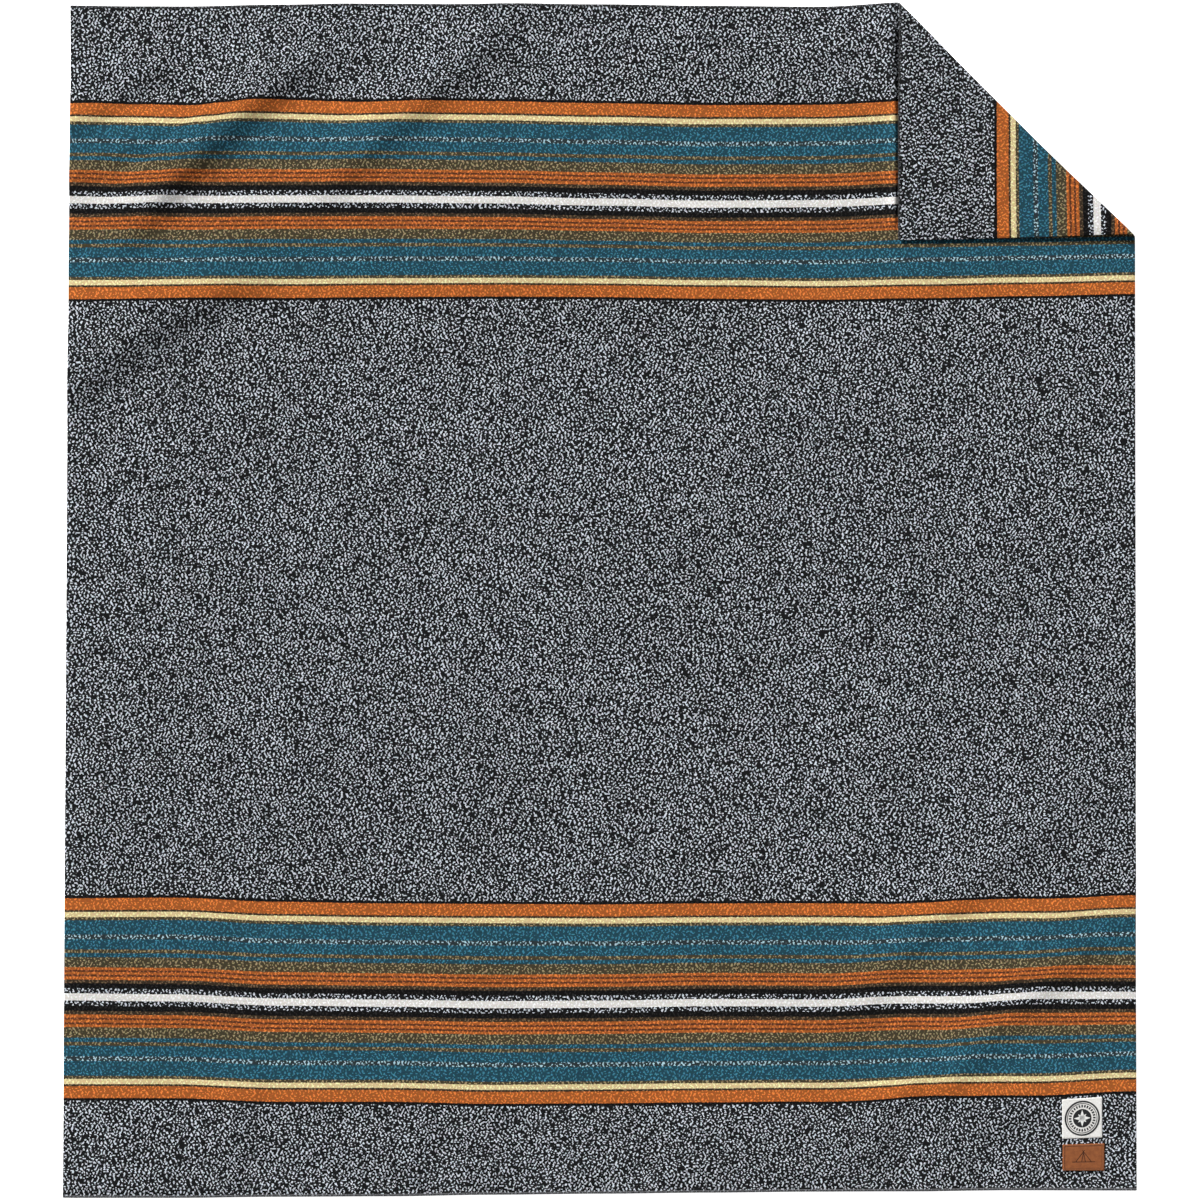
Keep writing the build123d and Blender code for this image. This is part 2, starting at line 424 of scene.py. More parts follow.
def tube(points, radius, axis, sides=6):
    """Points and faces of a thread along a line; axis is a direction it never runs along."""
    along = np.gradient(points, axis=0)
    along /= np.linalg.norm(along, axis=1)[:, None]
    first = np.cross(along, axis)
    first /= np.linalg.norm(first, axis=1)[:, None]
    second = np.cross(along, first)
    turns = np.arange(sides) * 2 * math.pi / sides
    ring = first[:, None] * np.cos(turns)[None, :, None]
    ring = ring + second[:, None] * np.sin(turns)[None, :, None]
    skin = (points[:, None] + radius * ring).reshape(-1, 3)
    faces = []
    for step in range(len(points) - 1):
        for side in range(sides):
            near = step * sides + side
            next_side = step * sides + (side + 1) % sides
            faces.append((near, next_side, next_side + sides, near + sides))
    faces.append(tuple(range(sides))[::-1])
    faces.append(tuple(range((len(points) - 1) * sides, len(points) * sides)))
    return skin, faces


def joined(parts):
    """One list of points and one of faces from several."""
    points, faces, count = [], [], 0
    for part_points, part_faces in parts:
        points.append(part_points)
        faces.extend(tuple(index + count for index in face) for face in part_faces)
        count += len(part_points)
    return np.concatenate(points), faces


# ---- materials


def linear(red, green, blue):
    """A colour given as it looks on a screen, 0 to 255, for a shader."""
    values = [value / 255 for value in (red, green, blue)]
    return tuple(v / 12.92 if v <= 0.04045 else ((v + 0.055) / 1.055) ** 2.4 for v in values) + (1,)


def new_material(name):
    """A new material, its node tree and its Principled shader."""
    material = bpy.data.materials.new(name)
    material.use_nodes = True
    return material, material.node_tree, material.node_tree.nodes["Principled BSDF"]


def feed(tree, socket, value):
    """Sets a socket to a value, or links it to another node's output."""
    if isinstance(value, bpy.types.NodeSocket):
        tree.links.new(value, socket)
    else:
        socket.default_value = value


def node(tree, kind, inputs, **settings):
    """A new node, with values or links for its inputs."""
    made = tree.nodes.new(kind)
    for name, value in settings.items():
        setattr(made, name, value)
    for name, value in inputs.items():
        feed(tree, made.inputs[name], value)
    return made


def maths(tree, operation, *values):
    """The result of a Math node."""
    made = tree.nodes.new("ShaderNodeMath")
    made.operation = operation
    for socket, value in zip(made.inputs, values):
        feed(tree, socket, value)
    return made.outputs[0]


def vector_maths(tree, operation, inputs):
    """The vector from a Vector Math node."""
    return node(tree, "ShaderNodeVectorMath", inputs, operation=operation).outputs[0]


def noise(tree, vector, size, detail=2.0, roughness=0.6):
    """Noise with features about size metres across, round about 0.5."""
    inputs = {"Vector": vector, "Scale": 1 / size, "Detail": detail, "Roughness": roughness}
    return node(tree, "ShaderNodeTexNoise", inputs).outputs[0]


def stretched(tree, vector, scale, turn=(0, 0, 0)):
    """A vector scaled along each axis, then turned by angles in degrees."""
    angles = tuple(math.radians(angle) for angle in turn)
    turned = node(tree, "ShaderNodeMapping", {"Vector": vector, "Rotation": angles}).outputs[0]
    return node(tree, "ShaderNodeMapping", {"Vector": turned, "Scale": scale}).outputs[0]


def spread(tree, value, low, high, to_low=0.0, to_high=1.0):
    """value from low to high becomes to_low to to_high, held at the ends."""
    inputs = {"Value": value, "From Min": low, "From Max": high, "To Min": to_low, "To Max": to_high}
    return node(tree, "ShaderNodeMapRange", inputs).outputs[0]


def blend_colours(tree, share, first, second, how="MIX"):
    """Mixes two colours. The Mix node's colour inputs are its sockets 6 and 7."""
    made = tree.nodes.new("ShaderNodeMix")
    made.data_type = "RGBA"
    made.blend_type = how
    feed(tree, made.inputs[0], share)
    feed(tree, made.inputs[6], first)
    feed(tree, made.inputs[7], second)
    return made.outputs[2]


def bump(tree, height, depth, strength=1.0):
    """A normal tilted by a height that stands for depth metres."""
    inputs = {"Height": height, "Distance": depth, "Strength": strength}
    return node(tree, "ShaderNodeBump", inputs).outputs[0]


# Each yarn's mean colour, and how far its dark floats fall below it as a share of its brightness.
YARNS = {
    "grey": ((107, 110, 115), 0.96),
    "fleck": ((92, 112, 119), 0.80),
    "white": ((230, 227, 222), 0.14),
    "black": ((17, 16, 16), 0.60),
    "brown": ((74, 59, 43), 0.50),
    "orange": ((179, 98, 44), 0.25),
    "rust": ((110, 62, 37), 0.40),
    "olive": ((96, 86, 63), 0.55),
    "teal": ((39, 85, 102), 0.40),
    "cream": ((226, 201, 150), 0.14),
}
RAMP_SPAN = 0.25  # metres from a band's centre that the colour ramps cover
WARP = 1.0 * MM  # spacing of the warp ends, and of the thicker rows of weft
WEFT = 2.0 * MM
YARN_DRIFT = 0.5 * MM  # how unevenly the yarns run
STRIPE_FUZZ = 3.0 * MM  # how far fibres carry a colour into the next stripe
BESIDE = ((1, 0), (-1, 0), (0, 1), (0, -1), (1, 1), (-1, -1))  # steps to a float's neighbours
TWO_AWAY = ((2, 0), (-2, 0), (1, 2), (-1, -2), (2, 1), (-2, -1), (1, -1), (-1, 1))
LIKENESS = 0.10  # how far a float takes after the ones beside it
EVEN_SCATTER = 0.20  # how far it keeps unlike the ones two away, so that flecks don't clump
FIBRE_SHARE = 0.08  # how far the loose fibres blur one float into the next
FLECK_DARK = 0.274  # where the random mix of fibres reads as all dark, and as all pale
FLECK_PALE = 0.369
PALE_SHARE = 0.22  # share of floats that are pale
WEAVE_DEPTH = 0.35 * MM
WEAVE_STRENGTH = 0.14


def weft_runs():
    """Colour and starting distance of each weft run, from a band's centre outwards.

    The grey run inside the teal is a thin line of loose flecks, with teal showing through it.
    """
    runs = []
    for colour in COLOURS:
        vertices = frame["nodes"][f"foot_{colour}_weft"].data.vertices
        edges = sorted({round(vertex.co.y - FOOT_BAND, 5) for vertex in vertices})
        edges = [edge for edge in edges if edge > 0]
        if len(edges) % 2:
            edges = [0.0] + edges
        runs.extend((start, colour) for start in edges[::2])
    band_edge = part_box("foot_black_weft")[1].y - FOOT_BAND
    runs = sorted(runs)
    for index, (start, colour) in enumerate(runs[1:-1], 1):
        if colour == "grey" and runs[index - 1][1] == "teal" == runs[index + 1][1]:
            runs[index] = (start, "fleck")
    return runs + [(round(band_edge, 5), "grey")]


def yarn_shade(colour, pale):
    """The colour of a yarn's pale or dark floats, which together come to its mean."""
    mean, contrast = YARNS[colour]
    factor = 1 + contrast * (1 - PALE_SHARE) / PALE_SHARE if pale else 1 - contrast
    return tuple(min(value * factor, 0.9) for value in linear(*mean)[:3]) + (1,)


def yarn_ramp(tree, distance, pale):
    """Colour ramp across a band for the pale or the dark floats of its yarns."""
    ramp = node(tree, "ShaderNodeValToRGB", {"Fac": distance})
    ramp.color_ramp.interpolation = "CONSTANT"
    elements = ramp.color_ramp.elements
    for index, (start, colour) in enumerate(weft_runs()):
        place = start / RAMP_SPAN
        element = elements[index] if index < 2 else elements.new(place)
        element.position = place
        element.color = yarn_shade(colour, pale)
    return ramp.outputs[0]


def float_chance(tree, along, row, along_step, row_step):
    """A random number for the float some steps away from the one at (along, row)."""
    x = maths(tree, "ADD", along, along_step)
    y = maths(tree, "ADD", row, row_step)
    cell = node(tree, "ShaderNodeCombineXYZ", {"X": x, "Y": y}).outputs[0]
    return node(tree, "ShaderNodeTexWhiteNoise", {"Vector": cell}, noise_dimensions="2D").outputs[0]


def twill_floats(tree, flat):
    """The face of the twill: a random number for each float of weft, and the float's height.

    Every float passes over two ends of warp, and each row starts one end further to the left.
    """
    wander = node(tree, "ShaderNodeTexNoise", {"Vector": flat, "Scale": 1 / (4 * WEFT), "Detail": 2.0})
    drift = vector_maths(tree, "SUBTRACT", {0: wander.outputs[1], 1: (0.5, 0.5, 0.5)})
    drift = vector_maths(tree, "SCALE", {0: drift, "Scale": 2 * YARN_DRIFT})
    moved = vector_maths(tree, "ADD", {0: flat, 1: drift})
    parts = node(tree, "ShaderNodeSeparateXYZ", {"Vector": moved})
    rows = maths(tree, "DIVIDE", parts.outputs[1], WEFT)
    ends = maths(tree, "DIVIDE", parts.outputs[0], WARP)
    row = maths(tree, "FLOOR", rows)
    along = maths(tree, "MULTIPLY", maths(tree, "ADD", ends, row), 0.5)
    place = maths(tree, "FLOOR", along)
    chance = float_chance(tree, place, row, 0, 0)
    for steps, weight in ((BESIDE, LIKENESS), (TWO_AWAY, -EVEN_SCATTER)):
        for along_step, row_step in steps:
            other = float_chance(tree, place, row, along_step, row_step)
            chance = maths(tree, "MULTIPLY_ADD", other, weight, chance)
    round_across = maths(tree, "SINE", maths(tree, "MULTIPLY", maths(tree, "FRACT", rows), math.pi))
    round_along = maths(tree, "SINE", maths(tree, "MULTIPLY", maths(tree, "FRACT", along), math.pi))
    height = maths(tree, "MULTIPLY", round_across, maths(tree, "POWER", round_along, 0.5))
    return chance, height


def wool_material():
    """Heathered wool twill, striped by weft colour; streaks, clouding and hairs vary its tone."""
    material, tree, shader = new_material("heathered_wool")
    flat = node(tree, "ShaderNodeAttribute", {}, attribute_name="flat").outputs["Vector"]
    parts = node(tree, "ShaderNodeSeparateXYZ", {"Vector": flat})
    fuzz = maths(tree, "SUBTRACT", noise(tree, flat, 2.2 * MM, 2), 0.5)
    v = maths(tree, "MULTIPLY_ADD", fuzz, STRIPE_FUZZ, parts.outputs[1])
    from_head = maths(tree, "ABSOLUTE", maths(tree, "SUBTRACT", v, HEAD_BAND))
    from_foot = maths(tree, "ABSOLUTE", maths(tree, "SUBTRACT", v, FOOT_BAND))
    distance = maths(tree, "DIVIDE", maths(tree, "MINIMUM", from_head, from_foot), RAMP_SPAN)
    pale = yarn_ramp(tree, distance, True)
    dark = yarn_ramp(tree, distance, False)

    chance, rise = twill_floats(tree, flat)
    slanted = stretched(tree, flat, (1.0, 0.5, 1.0), (0, 0, 45))
    fibres = spread(tree, noise(tree, slanted, 1.3 * MM, 1, 0.5), 0.3, 0.7)
    crisp = maths(tree, "MULTIPLY", chance, 1 - FIBRE_SHARE)
    mixed = maths(tree, "MULTIPLY_ADD", fibres, FIBRE_SHARE, crisp)
    colour = blend_colours(tree, spread(tree, mixed, FLECK_DARK, FLECK_PALE), dark, pale)

    streak = noise(tree, stretched(tree, flat, (0.02, 1, 1)), 1.6 * MM, 2)
    cloud = noise(tree, flat, 0.22, 3)
    hairs = noise(tree, flat, 0.7 * MM, 2, 0.7)
    tone = maths(tree, "ADD", spread(tree, streak, 0.3, 0.7, -0.10, 0.10), 1.0)
    tone = maths(tree, "ADD", tone, spread(tree, cloud, 0.3, 0.7, -0.06, 0.06))
    tone = maths(tree, "ADD", tone, spread(tree, hairs, 0.3, 0.7, -0.12, 0.12))
    colour = blend_colours(tree, 1.0, colour, tone, "MULTIPLY")
    hue = node(tree, "ShaderNodeTexNoise", {"Vector": flat, "Scale": 1 / (3.5 * MM), "Detail": 1.0})
    feed(tree, shader.inputs["Base Color"], blend_colours(tree, 0.25, colour, hue.outputs[1], "OVERLAY"))

    height = maths(tree, "MULTIPLY_ADD", hairs, 0.5, rise)
    feed(tree, shader.inputs["Normal"], bump(tree, height, WEAVE_DEPTH, WEAVE_STRENGTH))
    feed(tree, shader.inputs["Roughness"], spread(tree, hairs, 0.3, 0.7, 0.85, 1.0))
    shader.inputs["Specular IOR Level"].default_value = 0.1
    shader.inputs["Sheen Weight"].default_value = 0.05
    shader.inputs["Sheen Roughness"].default_value = 0.5
    return material


def thread_material(name, pale, dark, sheen=0.2):
    """Twisted sewing thread."""
    material, tree, shader = new_material(name)
    place = node(tree, "ShaderNodeTexCoord", {}).outputs["Object"]
    fibres = noise(tree, place, 0.6 * MM, 3, 0.7)
    colour = blend_colours(tree, spread(tree, fibres, 0.35, 0.65), linear(*dark), linear(*pale))
    feed(tree, shader.inputs["Base Color"], colour)
    feed(tree, shader.inputs["Normal"], bump(tree, fibres, 0.1 * MM, 0.7))
    feed(tree, shader.inputs["Roughness"], spread(tree, fibres, 0.3, 0.7, 0.55, 0.85))
    shader.inputs["Sheen Weight"].default_value = sheen
    return material


def label_material():
    """Fine woven label ground with faint weft lines."""
    material, tree, shader = new_material("label_weave")
    flat = node(tree, "ShaderNodeAttribute", {}, attribute_name="flat").outputs["Vector"]
    weft = noise(tree, stretched(tree, flat, (0.08, 1, 1)), 0.5 * MM, 1)
    warp = noise(tree, stretched(tree, flat, (1, 0.08, 1)), 0.5 * MM, 1)
    weave = maths(tree, "MULTIPLY", maths(tree, "ADD", weft, warp), 0.5)
    soiling = noise(tree, flat, 18 * MM, 3)
    colour = blend_colours(
        tree, spread(tree, weave, 0.35, 0.62), linear(214, 211, 206), linear(248, 247, 244)
    )
    tone = spread(tree, soiling, 0.3, 0.7, 0.95, 1.0)
    feed(tree, shader.inputs["Base Color"], blend_colours(tree, 1.0, colour, tone, "MULTIPLY"))
    feed(tree, shader.inputs["Normal"], bump(tree, weave, 0.15 * MM, 0.7))
    feed(tree, shader.inputs["Roughness"], spread(tree, weave, 0.3, 0.7, 0.7, 0.9))
    shader.inputs["Specular IOR Level"].default_value = 0.25
    shader.inputs["Sheen Weight"].default_value = 0.2
    return material


def leather_material():
    """Tan leather with pores, darker where it is pressed in and along its cut edge."""
    material, tree, shader = new_material("patch_leather")
    flat = node(tree, "ShaderNodeAttribute", {}, attribute_name="flat").outputs["Vector"]
    pressed = node(tree, "ShaderNodeAttribute", {}, attribute_name="pressed").outputs["Fac"]
    cloud = noise(tree, flat, 9 * MM, 4, 0.65)
    grain = node(
        tree, "ShaderNodeTexVoronoi", {"Vector": flat, "Scale": 1 / (1.1 * MM)}, feature="DISTANCE_TO_EDGE"
    ).outputs[0]
    pores = spread(tree, grain, 0.0, 0.2)
    colour = blend_colours(
        tree, spread(tree, cloud, 0.3, 0.7), linear(132, 75, 42), linear(160, 96, 54)
    )
    colour = blend_colours(tree, spread(tree, pores, 0.0, 1.0, 0.22, 0.0), colour, linear(80, 44, 26))
    colour = blend_colours(tree, pressed, colour, linear(62, 32, 18))
    feed(tree, shader.inputs["Base Color"], colour)
    height = maths(tree, "MULTIPLY_ADD", pores, 0.6, cloud)
    feed(tree, shader.inputs["Normal"], bump(tree, height, 0.12 * MM, 0.6))
    feed(tree, shader.inputs["Roughness"], spread(tree, pores, 0.0, 1.0, 0.8, 0.68))
    shader.inputs["Specular IOR Level"].default_value = 0.25
    return material


# ---- the cloth

CLOTH_STEP = 8 * MM
CORNER_STEP = 6 * MM
BULGE_STEP = 1.6 * MM
FOLD_LINES = 19  # grid lines over a fold, and over the turned-back corner's bend
BEND_LINES = 16
FOLD_MARGIN = 2 * MM
SEAM = -10 * MM  # where the turned-back corner's piece meets the rest, short of the bend


def ride_blend_fold(piece):
    """Bakes a piece of cloth's placement into its mesh."""
    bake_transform(piece)


def fold_lines(joint):
    """Close grid lines over the strip of cloth that bends with a joint."""
    hinge = Vector(JOINTS[joint]["pos_m"])
    half_bend = math.pi * hinge.z / 2 + FOLD_MARGIN
    return list(np.linspace(hinge.y - half_bend, hinge.y + half_bend, FOLD_LINES))


def v_lines(low, high, joint, fine_low, fine_high):
    """Grid lines along the blanket, close together where it folds."""
    fold = fold_lines(joint)
    before = grid_lines(low, fold[0], CLOTH_STEP, fine_low, False)
    after = grid_lines(fold[-1], high, CLOTH_STEP, False, fine_high)
    return before[:-1] + fold + after[1:]


def weft_nodes(body):
    """The CAD nodes of one moving part's cloth."""
    return [f"{body}_{colour}_weft" for colour in COLOURS] + [f"{body}_field"]


def cloth(material):
    """The blanket's cloth in three pieces, each with close grid lines where it folds or bends."""
    across = grid_lines(-HALF_WIDTH, HALF_WIDTH, CLOTH_STEP, True, True)
    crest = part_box("corner_edge_stitch")[0].x - BULGE_AWAY
    beside_flap = np.arange(crest - 2 * BULGE_SPREAD_OUT, crest + 4 * BULGE_SPREAD_IN, BULGE_STEP)
    across = [u for u in across if not beside_flap[0] - MM < u < beside_flap[-1] + MM]
    across = sorted(across + list(beside_flap))
    foot = cloth_piece("cloth_foot", across, v_lines(-HALF_LENGTH, 0, "foot_fold", True, False))
    ride_blend_fold(foot)
    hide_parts(*weft_nodes("foot"))

    along = v_lines(0, HALF_LENGTH, "head_fold", False, True)
    head = cloth_piece("cloth_head", across, along, (SEAM,), None, SEAM)
    ride_blend_fold(head)
    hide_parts("middle_field", *weft_nodes("head"))

    reach = (BEND_TO_CORNER - SEAM) / DIAGONAL
    u_corner = grid_lines(HALF_WIDTH - reach, HALF_WIDTH, CORNER_STEP, False, True)
    v_corner = grid_lines(HALF_LENGTH - reach, HALF_LENGTH, CORNER_STEP, False, True)
    bend_end = math.pi * (ROLL_RADIUS + ROLL_OPEN_RIGHT)
    cuts = (SEAM,) + tuple(np.linspace(0, bend_end, BEND_LINES))
    corner = cloth_piece("cloth_corner", u_corner, v_corner, cuts, SEAM)
    blend_corner(corner)
    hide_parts("corner_roll", *weft_nodes("corner"))
    for piece in (foot, head, corner):
        piece.data.materials.append(material)


def blend_corner(piece):
    """Bakes a piece's placement into its mesh.
    """
    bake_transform(piece)


# ---- edge stitching

STITCH_PITCH = 2.3 * MM
THREAD = 0.55 * MM  # radius of the overlock thread
STITCH_IN = 1.7 * MM  # middle of a stitch, in from the cloth's end
STITCH_REACH = 2.1 * MM
STITCH_POINTS = 10  # points round one stitch
STITCH_WOBBLE = 0.06  # how unevenly far the stitches reach in, as a share
STITCH_SLANT = 0.25  # share of the pitch by which a stitch leans to each side
WOBBLE_SEED = 11


def overlock(name, u_low, u_high, end, material):
    """Overlock stitching round the cloth's end, from u_low to u_high."""
    count = max(2, round((u_high - u_low) / STITCH_PITCH))
    wobble = np.random.default_rng(WOBBLE_SEED).normal(0, STITCH_WOBBLE, count + 1)
    turns = np.arange(count * STITCH_POINTS + 1) / STITCH_POINTS
    angle = 2 * math.pi * turns
    loop = np.minimum(turns.astype(int), count)
    reach = STITCH_REACH * (1 + wobble[loop])
    inward = STITCH_IN - reach * np.cos(angle)
    u = u_low + (u_high - u_low) * turns / count
    u = u + STITCH_SLANT * STITCH_PITCH * np.sin(angle)
    edge_half = half_thickness(HALF_WIDTH - SQUEEZE_REACH, HALF_LENGTH - STITCH_IN)
    height = (edge_half + 0.7 * THREAD) * np.sin(angle)
    wrap = lay(u, end * (HALF_LENGTH - inward), height)

    cord_u = np.linspace(u_low, u_high, 2 * count)
    weave = 0.35 * THREAD * np.cos(np.arange(2 * count) * math.pi)
    cord = lay(cord_u, end * (HALF_LENGTH + 0.5 * THREAD + weave), weave)
    chain_in = HALF_LENGTH - STITCH_IN - STITCH_REACH + 0.6 * MM
    chain = lay(cord_u, end * (chain_in + weave), half_thickness(cord_u, chain_in) + 0.3 * THREAD)

    sideways = np.array((0.0, 0.0, 1.0))
    edge_way = np.gradient(cord, axis=0).mean(0)
    parts = [tube(wrap, THREAD, edge_way)]
    parts.append(tube(cord, 1.1 * THREAD, sideways))
    parts.append(tube(chain, 0.9 * THREAD, sideways))
    made = mesh_object(name, *joined(parts))
    made.data.materials.append(material)
    return made


def edge_stitching():
    """Stitching along the head end, the turned-back corner's part of it, and the foot end."""
    # The same overlock thread in two copies: near black at the head end and along the turned-back corner,
    # grey at the foot end. The head end's near-black copy is partly the thread's own colour and partly
    # painted shade for the dark line along that edge.
    material = thread_material("edge_thread", (24, 24, 26), (6, 6, 7))
    bend_u = HALF_WIDTH - (BEND_TO_CORNER - SEAM) / DIAGONAL
    head = overlock("head_overlock", -HALF_WIDTH + MM, bend_u, 1, material)
    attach(head, "head")
    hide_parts("head_edge_stitch")
    corner = overlock("corner_overlock", bend_u, HALF_WIDTH - MM, 1, material)
    blend_corner(corner)  # its loops hang below the turned-back cloth
    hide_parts("corner_edge_stitch")
    grey = thread_material("edge_thread_grey", (126, 127, 130), (52, 53, 56))
    foot = overlock("foot_overlock", -HALF_WIDTH + MM, HALF_WIDTH - MM, -1, grey)
    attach(foot, "foot")
    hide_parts("foot_edge_stitch")


# ---- labels

LABEL_CORNER = 1.2 * MM  # radius of the labels' corners
LABEL_RIM = np.array([0, 0.25, 0.6, 1.1]) * MM  # grid lines over a label's rounded rim
RIM_HEIGHT = 0.35  # share of a label's thickness that it has at its very edge
PRESS_DEPTH = 0.35 * MM
CLEAR_OF_CLOTH = 0.05 * MM  # height of a label's underside above the cloth


def pad(name, node_name, step, relief, material):
    """A sewn-on label: rounded corners, a soft edge, and relief(x, y) pressed into its face."""
    low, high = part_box(node_name)
    centre = (low + high) / 2
    half = (high - low) / 2
    base = low.z - THICKNESS / 2
    thickness = high.z - low.z
    inset = LABEL_RIM
    lines = []
    for size in (half.x, half.y):
        count = round((2 * size - 2 * inset[-1]) / step)
        middle = np.linspace(-size + inset[-1], size - inset[-1], count + 1)
        lines.append(np.concatenate((-size + inset[:-1], middle, size - inset[:-1][::-1])))
    x, y = (values.ravel() for values in np.meshgrid(*lines))
    edge = np.minimum(half.x - np.abs(x), half.y - np.abs(y))
    share = np.clip(edge / inset[-1], 0, 1)
    corner_x = np.clip(np.abs(x) - half.x + LABEL_CORNER, 0, None)
    corner_y = np.clip(np.abs(y) - half.y + LABEL_CORNER, 0, None)
    past = np.maximum(np.hypot(corner_x, corner_y) / LABEL_CORNER, 1)
    x = np.where(past > 1, np.sign(x) * (half.x - LABEL_CORNER + corner_x / past), x)
    y = np.where(past > 1, np.sign(y) * (half.y - LABEL_CORNER + corner_y / past), y)
    pressed = relief(x, y)
    crown = RIM_HEIGHT + (1 - RIM_HEIGHT) * np.sqrt(1 - (1 - share) ** 2)
    rise = thickness * crown - pressed * PRESS_DEPTH
    u = centre.x + x
    v = centre.y + y
    columns, rows = len(lines[0]), len(lines[1])
    top = lay(u, v, base + rise)
    bottom = lay(u, v, np.full_like(u, base + CLEAR_OF_CLOTH))
    count = len(u)
    faces = []
    for row in range(rows - 1):
        for column in range(columns - 1):
            a = row * columns + column
            faces.append((a, a + 1, a + 1 + columns, a + columns))
            faces.append(tuple(count + index for index in (a, a + columns, a + 1 + columns, a + 1)))
    outline = list(range(columns))
    outline += [row * columns + columns - 1 for row in range(1, rows)]
    outline += [(rows - 1) * columns + column for column in range(columns - 2, -1, -1)]
    outline += [row * columns for row in range(rows - 2, 0, -1)]
    for a, b in zip(outline, outline[1:] + outline[:1]):
        faces.append((b, a, count + a, count + b))
    flat = np.stack((u, v, np.zeros_like(u)), axis=1)
    made = mesh_object(name, np.concatenate((top, bottom)), faces, np.concatenate((flat, flat)))
    attribute = made.data.attributes.new("pressed", "FLOAT", "POINT")
    attribute.data.foreach_set("value", np.concatenate((pressed, 0 * pressed)).astype(np.float32))
    made.data.materials.append(material)
    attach(made, "foot")
    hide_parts(node_name)


def line_groove(x, y, start, end, width):
    """1 in the middle of a pressed line between two places, in mm, and 0 beside it."""
    start, end = np.array(start) * MM, np.array(end) * MM
    along = end - start
    t = ((x - start[0]) * along[0] + (y - start[1]) * along[1]) / (along @ along)
    t = np.clip(t, 0, 1)
    gap = np.hypot(x - start[0] - t * along[0], y - start[1] - t * along[1])
    return 1 - smooth((gap / MM - width / 2) / 0.5)


TENT_WIDTH = 0.9  # mm: its lines, and the patch's border line and how far in that runs
BORDER_WIDTH = 0.6
BORDER_IN = 4.6
TENT_LINES = [  # a plain ridge tent on the ground, in mm from the patch's middle
    ((-15, -9), (1.8, 13)),
    ((15, -9), (-1.8, 13)),
    ((-21, -9), (21, -9)),
    ((0, 9), (-3.6, -9)),
    ((0, 9), (3.6, -9)),
]


def tent_relief(x, y):
    """The tent and a border line, pressed into the leather."""
    low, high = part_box("leather_patch")
    half = (high - low) / 2
    pressed = np.zeros_like(x)
    for start, end in TENT_LINES:
        pressed = np.maximum(pressed, line_groove(x, y, start, end, TENT_WIDTH))
    edge = np.minimum(half.x - np.abs(x), half.y - np.abs(y)) / MM
    border = 1 - smooth((np.abs(edge - BORDER_IN) - BORDER_WIDTH / 2) / 0.4)
    return np.maximum(pressed, 0.6 * border)


def flat_face(x, y):
    """No relief."""
    return np.zeros_like(x + y)


STITCH_INSET = 0.3 * MM  # from the outline of the stitching's CAD solid
BOW_POINTS = 7  # points along one stitch


def running_stitch(name, node_name, ring_node, stitch, gap, radius, material, slot):
    """Stitches round a label, just inside its edge: each one a short bowed thread."""
    low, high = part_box(ring_node)
    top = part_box(node_name)[1].z - THICKNESS / 2
    inset = STITCH_INSET
    corners = [(low.x, low.y), (high.x, low.y), (high.x, high.y), (low.x, high.y)]
    middle = ((low.x + high.x) / 2, (low.y + high.y) / 2)
    parts = []
    for start, end in zip(corners, corners[1:] + corners[:1]):
        start, end = (
            np.array([value - inset * np.sign(value - centre) for value, centre in zip(place, middle)])
            for place in (start, end)
        )
        length = np.linalg.norm(end - start)
        count = round((length + gap) / (stitch + gap))
        pitch = (length + gap) / count
        way = (end - start) / length
        for index in range(count):
            along = index * pitch + np.linspace(0, pitch - gap, BOW_POINTS)
            places = start + way * along[:, None]
            bow = np.sin(np.linspace(0, math.pi, BOW_POINTS))
            height = top + radius * (-0.9 + 1.5 * bow)
            parts.append(tube(lay(places[:, 0], places[:, 1], height), radius, np.array((0.0, 0, 1))))
    made = mesh_object(name, *joined(parts))
    made.data.materials.append(material)
    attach(made, "foot")
    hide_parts(ring_node)


def arc_band(inner, outer, start=0.0, end=2 * math.pi, steps=96):
    """Outline of a flat ring, or of a piece of one, as quads of (x, y) in mm."""
    angles = np.linspace(start, end, steps + 1)
    quads = []
    for a, b in zip(angles, angles[1:]):
        corners = ((inner, a), (outer, a), (outer, b), (inner, b))
        quads.append([(r * math.cos(t), r * math.sin(t)) for r, t in corners])
    return quads


def compass_point(length, width, turn):
    """The two halves of one point of a compass star, as triangles in mm."""
    tip = (length * math.sin(turn), length * math.cos(turn))
    sides = []
    for side in (-1, 1):
        shoulder = turn + side * math.pi / 4
        sides.append((width * math.sin(shoulder), width * math.cos(shoulder)))
    return [[(0, 0), tip, sides[0]], [(0, 0), sides[1], tip]]


def raised(name, shapes, height, material):
    """Flat shapes, in mm from the woven label's middle, raised on its face."""
    centre = middle_of("woven_label")
    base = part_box("woven_label")[1].z - THICKNESS / 2
    points, faces = [], []
    for shape in shapes:
        first = len(points)
        for level in (-0.1 * MM, height):
            points.extend((centre.x + x * MM, centre.y + y * MM, base + level) for x, y in shape)
        size = len(shape)
        area = sum(a[0] * b[1] - a[1] * b[0] for a, b in zip(shape, shape[1:] + shape[:1]))
        ring = list(range(size)) if area > 0 else list(range(size))[::-1]
        faces.append([first + size + index for index in ring])
        faces.append([first + index for index in reversed(ring)])
        for a, b in zip(ring, ring[1:] + ring[:1]):
            faces.append([first + a, first + b, first + size + b, first + size + a])
    places = np.array(points)
    flat = places * (1, 1, 0)
    laid = lay(places[:, 0], places[:, 1], places[:, 2])
    made = mesh_object(name, laid, faces, flat, [False] * len(faces))
    made.data.materials.append(material)
    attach(made, "foot")


